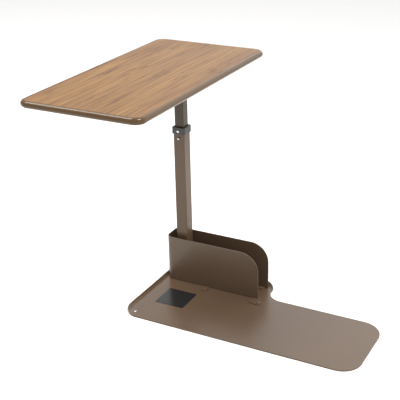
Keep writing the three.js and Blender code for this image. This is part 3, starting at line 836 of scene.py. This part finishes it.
upper_post = square_tube("upper_post", "inner_tube", INNER_ROUND)
setting_heights = [button_z - index * HOLE_PITCH for index in range(HOLE_COUNT)]
drill(upper_post, *(front_drill(SETTING_HOLE, inner_front, z) for z in setting_heights))
soften(upper_post, TUBE_EDGE)
hand_over(upper_post, "mast", "inner_coat", mast_coat_painted_shade, "inner_tube")

# %% [markdown]
# The collar is one moulding: a cap that fits over the end of the lower tube and a thin sleeve that
# guides the upper one. Its walls are thinner than its corners are round, so insets would cross over
# themselves. Rounded square bars are cut out of each other instead: the socket out of the cap, then the
# sleeve is joined on, and the bore, the spring's window and the rivet hole are cut through both.

# %% Collar
CAP_BOTTOM = 414 * MM
SOCKET_TOP = 429.7 * MM
SOCKET_HALF = 16.2 * MM
SLEEVE_HALF = 14.1 * MM
BORE_HALF = 13 * MM
WINDOW_HALF, WINDOW_TOP = 4.7 * MM, 428 * MM
COLLAR_HOLE, COLLAR_HOLE_END = 1.95 * MM, -12 * MM
CAP_EDGE, CUT_EDGE, COLLAR_SHARP = 0.9 * MM, 0.25 * MM, 60
PAST = 10 * MM
collar_low, collar_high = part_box("collar")


def rounded_post(name, half, corner, bottom, top):
    """A square bar round the post's axis with rounded upright edges."""
    bar = start_block(name, (-half, -half, bottom), (half, half, top))
    pick("edges", upright)
    round_off("EDGES", corner, steps=8)
    return close_edit(bar)


collar_cap = rounded_post("collar_cap", collar_high.x, 4 * MM, CAP_BOTTOM, collar_high.z)
soften(collar_cap, CAP_EDGE, steps=3, angle=COLLAR_SHARP)
drill(collar_cap, rounded_post("tube socket", SOCKET_HALF, 3.2 * MM, CAP_BOTTOM - PAST, SOCKET_TOP))
fuse(collar_cap, rounded_post("sleeve", SLEEVE_HALF, 1.5 * MM, collar_low.z, SOCKET_TOP + 1 * MM))
drill(collar_cap, rounded_post("bore", BORE_HALF, 2 * MM, collar_low.z - PAST, collar_high.z + PAST),
      close_edit(start_block("spring window", (-WINDOW_HALF, -SLEEVE_HALF - 2 * MM, collar_low.z - PAST),
                             (WINDOW_HALF, -SLEEVE_HALF + 2 * MM, WINDOW_TOP))),
      pin(COLLAR_HOLE, (0, -collar_high.x - 2 * MM, rivet_z), (0, COLLAR_HOLE_END, rivet_z)))
soften(collar_cap, CUT_EDGE, angle=COLLAR_SHARP)
hand_over(collar_cap, "base", "black_plastic", black_plastic, "collar")

# %% [markdown]
# The writing surface is a thin sheet of laminate glued to the board. It is a block with its four upright
# edges rounded to fit inside the edging, and its upper edge is only just broken.

# %% Tabletop laminate
TOP_ROUND = 28 * MM
BAND_DEPTH = 8.5 * MM
FITTING_GAP = 0.3 * MM
LAMINATE_EDGE = 0.3 * MM
CORNER_CUTS = 24
laminate_low, laminate_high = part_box("top_laminate")
wood_top = start_block("wood_top", laminate_low, laminate_high)
pick("edges", upright)
round_off("EDGES", TOP_ROUND - BAND_DEPTH - FITTING_GAP, steps=CORNER_CUTS)
close_edit(wood_top)
soften(wood_top, LAMINATE_EDGE)
hand_over(wood_top, "tabletop", "wood_laminate", wood_laminate, "top_laminate")

# %% [markdown]
# The edging is a vinyl strip with a full round nose and a tongue that locks into a groove in the board. A
# profile could be swept along a curve, but a block keeps the outline exact: insets and a bridge cut the
# board's place out of it, and its two outer edges are rounded into the nose. Two planes then cut the inner
# wall, and its middle is pulled in as the tongue.

# %% Edge band
band_low, band_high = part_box("edge_band")
TONGUE_HALF = 1.2 * MM
TONGUE_REACH = 8.4 * MM
NOSE_ROUND = 8.3 * MM
NOSE_STEPS = 10
band_middle = (band_low.z + band_high.z) / 2
trim_centre = (band_low + band_high) / 2
edge_trim = start_block("edge_trim", band_low, band_high)
pick("edges", upright)
round_off("EDGES", TOP_ROUND, steps=CORNER_CUTS)
pick("faces", flat)
bpy.ops.mesh.inset(thickness=BAND_DEPTH, use_even_offset=True)
bpy.ops.mesh.bridge_edge_loops()
bpy.ops.mesh.select_all(action="SELECT")
bpy.ops.mesh.normals_make_consistent(inside=False)


def on_outside(point):
    """True on the strip's outer wall, and False on the wall that faces the board."""
    half_x = band_high.x - trim_centre.x
    half_y = band_high.y - trim_centre.y
    from_x = max(abs(point.x - trim_centre.x) - (half_x - TOP_ROUND), 0)
    from_y = max(abs(point.y - trim_centre.y) - (half_y - TOP_ROUND), 0)
    return math.hypot(from_x, from_y) > TOP_ROUND - BAND_DEPTH / 2


pick("edges", lambda edge: near(edge.verts[0].co.z, edge.verts[1].co.z)
     and all(on_outside(v.co) for v in edge.verts))
round_off("EDGES", NOSE_ROUND, steps=NOSE_STEPS)
for z in (band_middle - TONGUE_HALF, band_middle + TONGUE_HALF):
    bpy.ops.mesh.select_all(action="SELECT")
    bpy.ops.mesh.bisect(plane_co=(0, 0, z), plane_no=(0, 0, 1))
pick("faces", lambda face: not on_outside(middle(face)) and near(middle(face).z, band_middle, 0.2 * MM))
bpy.ops.mesh.extrude_region_shrink_fatten(TRANSFORM_OT_shrink_fatten={"value": TONGUE_REACH})
close_edit(edge_trim, 50)
hand_over(edge_trim, "tabletop", "edge_vinyl", edge_vinyl, "edge_band")

# %% [markdown]
# The pieces that stay as the CAD made them are hidden under the top and the base or inside the post. They
# still get their real finishes, because the table is also seen from below and in parts.

# %% Finishes for the CAD pieces that stay
kept_finishes = {
    "foot_flange": brown_coat,
    "mast_plate": brown_coat,
    "table_plate": brown_coat,
    "swivel_washer": white_nylon,
    "lower_glide": black_plastic,
    "button_spring": spring_steel,
    "core_board": chip_board,
    "backer_sheet": backer_paper,
    "pivot_bolt": bright_zinc,
    "pivot_washer": bright_zinc,
    "pivot_nut": bright_zinc,
}
for index in range(4):
    kept_finishes[f"foot_screw_{index + 1}"] = bright_zinc
    kept_finishes[f"foot_nut_{index + 1}"] = bright_zinc
for index in range(6):
    kept_finishes[f"table_screw_{index + 1}"] = bright_zinc
for name, finish in kept_finishes.items():
    cad_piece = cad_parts[name]
    cad_piece.data.materials.clear()
    cad_piece.data.materials.append(finish)
print("CAD pieces given a finish:", len(kept_finishes))

# %% [markdown]
# The studio is a pale floor inside white walls, with two soft boxes overhead. The floor is staged, so it
# stays out of the table's own measurements.

# %% Floor
FLOOR_SIZE = 30
FLOOR_DROP = 0.5 * MM
FLOOR_WHITE = 0.975
bpy.ops.object.select_all(action="DESELECT")
bpy.ops.mesh.primitive_plane_add(size=FLOOR_SIZE, location=(0, 0, -FLOOR_DROP))
floor = bpy.context.object
floor.name = "floor"
floor_finish, floor_shader = new_finish("pale floor", 0.9, specular=0.1)
floor_shader.inputs["Base Color"].default_value = (FLOOR_WHITE, FLOOR_WHITE, FLOOR_WHITE, 1)
floor.data.materials.append(floor_finish)
print("floor:", FLOOR_SIZE, "m wide")

# %% [markdown]
# The walls are what the satin paint mirrors, so the steel shows its form by what it hides from them. They
# are brightest at the backdrop, high at the back and to the right, and this lights the far end of the
# laminate. A dot product measures how far any direction turns away from the backdrop.

# %% Sky
BACKDROP_WAY = Vector((0.30, 0.90, 0.31))
BACKDROP_STARTS, BACKDROP_FULL = 0.5, 0.88
SKY_FRONT = 0.60
SKY_BACK = 1.95


def studio_sky():
    """White walls all round, brighter on the backdrop's side than on the camera's."""
    sky = bpy.data.worlds.new("white studio")
    sky.use_nodes = True
    nodes, links = sky.node_tree.nodes, sky.node_tree.links
    way = nodes.new("ShaderNodeTexCoord")
    facing = nodes.new("ShaderNodeVectorMath")
    facing.operation = "DOT_PRODUCT"
    facing.inputs[1].default_value = BACKDROP_WAY
    strength = nodes.new("ShaderNodeMapRange")
    strength.interpolation_type = "SMOOTHSTEP"
    strength.inputs["From Min"].default_value = BACKDROP_STARTS
    strength.inputs["From Max"].default_value = BACKDROP_FULL
    strength.inputs["To Min"].default_value = SKY_FRONT
    strength.inputs["To Max"].default_value = SKY_BACK
    links.new(way.outputs["Generated"], facing.inputs[0])
    links.new(facing.outputs["Value"], strength.inputs["Value"])
    links.new(strength.outputs["Result"], nodes["Background"].inputs["Strength"])
    nodes["Background"].inputs["Color"].default_value = (1, 1, 1, 1)
    return sky


bpy.context.scene.world = studio_sky()
bpy.context.scene.view_settings.view_transform = "Standard"
print("sky from", SKY_FRONT, "in front to", SKY_BACK, "at the backdrop")

# %% [markdown]
# The soft boxes hang high on the left and on the right. They light the tongue more than the plate under
# the tabletop, and the edging mirrors them as the bright line along its nose.

# %% Soft boxes
WARM_WHITE = (1.0, 0.965, 0.90)
made_lights = []


def soft_box(name, place, width, depth, watts):
    """A soft box that hangs at its place and points straight down."""
    light = bpy.data.lights.new(name, "AREA")
    light.shape = "RECTANGLE"
    light.size = width
    light.size_y = depth
    light.energy = watts
    light.color = WARM_WHITE
    lamp = bpy.data.objects.new(name, light)
    lamp.visible_camera = False
    lamp.location = place
    bpy.context.scene.collection.objects.link(lamp)
    made_lights.append(name)


soft_box("left soft box", (-1.15, -0.37, 2.3), width=1.2, depth=1.3, watts=48)
soft_box("right soft box", (1.15, -0.50, 2.3), width=0.8, depth=0.8, watts=46)
print("lights:", made_lights)

# %% [markdown]
# Last, the number of pieces made is printed. No piece here reaches past the frame.

# %% Count the pieces
print("pieces made:", len(made))
